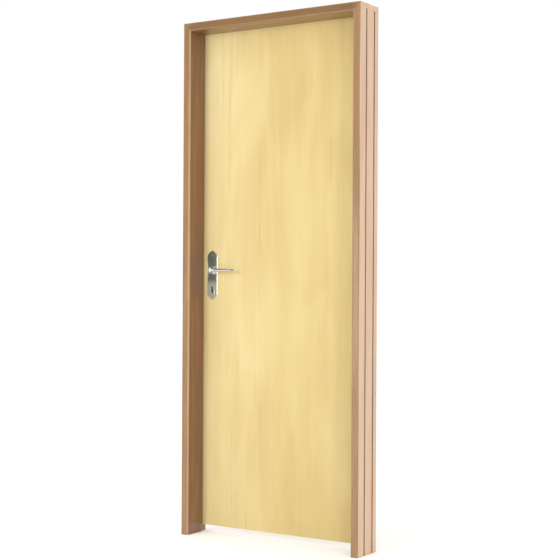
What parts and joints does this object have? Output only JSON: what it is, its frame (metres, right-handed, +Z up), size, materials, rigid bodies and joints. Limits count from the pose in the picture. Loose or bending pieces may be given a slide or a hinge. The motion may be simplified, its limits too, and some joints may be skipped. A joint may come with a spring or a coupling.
{
  "type": "flush hollow core door in a rebated wooden frame",
  "caption": "Flush door leaf with paper honeycomb core, hung on butt hinges in a rebated wooden frame, with lever handles and mortice lock.",
  "frame": {"origin": "on the hinge jamb's outer face, at floor level, midway through the depth of the frame", "axes": "+X out of the hinge jamb's outer face, +Y towards the side that the leaf opens to, +Z up"},
  "size_m": [0.8555, 0.1864, 2.158],
  "materials": {
    "frame_wood": "satin varnish",
    "leaf_veneer": "satin varnish",
    "core_wood": "sawn",
    "core_paper": "matt",
    "hinge_steel": "satin",
    "furniture_chrome": "polished",
    "lock_steel": "satin"
  },
  "bodies": {
    "frame": {"hinge_jamb": "frame_wood", "latch_jamb": "frame_wood", "head_jamb": "frame_wood", "strike_plate": "lock_steel", "top_hinge_frame_flap": "hinge_steel", "middle_hinge_frame_flap": "hinge_steel", "bottom_hinge_frame_flap": "hinge_steel", "top_hinge_pin": "hinge_steel", "middle_hinge_pin": "hinge_steel", "bottom_hinge_pin": "hinge_steel"},
    "leaf": {"front_skin": "leaf_veneer", "back_skin": "leaf_veneer", "hinge_stile": "core_wood", "latch_stile": "core_wood", "top_rail": "core_wood", "bottom_rail": "core_wood", "lock_block": "core_wood", "honeycomb_core": "core_paper", "top_hinge_leaf_flap": "hinge_steel", "middle_hinge_leaf_flap": "hinge_steel", "bottom_hinge_leaf_flap": "hinge_steel", "lock_case": "lock_steel", "lock_fore_end": "lock_steel", "latch_bolt": "lock_steel", "dead_bolt": "lock_steel", "front_escutcheon": "furniture_chrome", "back_escutcheon": "furniture_chrome"},
    "lever_set": {"front_lever": "furniture_chrome", "back_lever": "furniture_chrome", "spindle": "lock_steel"}
  },
  "joints": [
    {"name": "leaf_swing", "type": "hinge", "parent": "frame", "child": "leaf", "pos_m": [-0.0245, 0.08, 1.1], "axis": [0, 0, -1], "range_deg": [0, 170]},
    {"name": "lever_turn", "type": "hinge", "parent": "leaf", "child": "lever_set", "pos_m": [-0.776, 0.055, 1.117], "axis": [0, 1, 0], "range_deg": [0, 40], "stiffness_Nm_per_rad": 2, "springref_deg": -28.65}
  ]
}
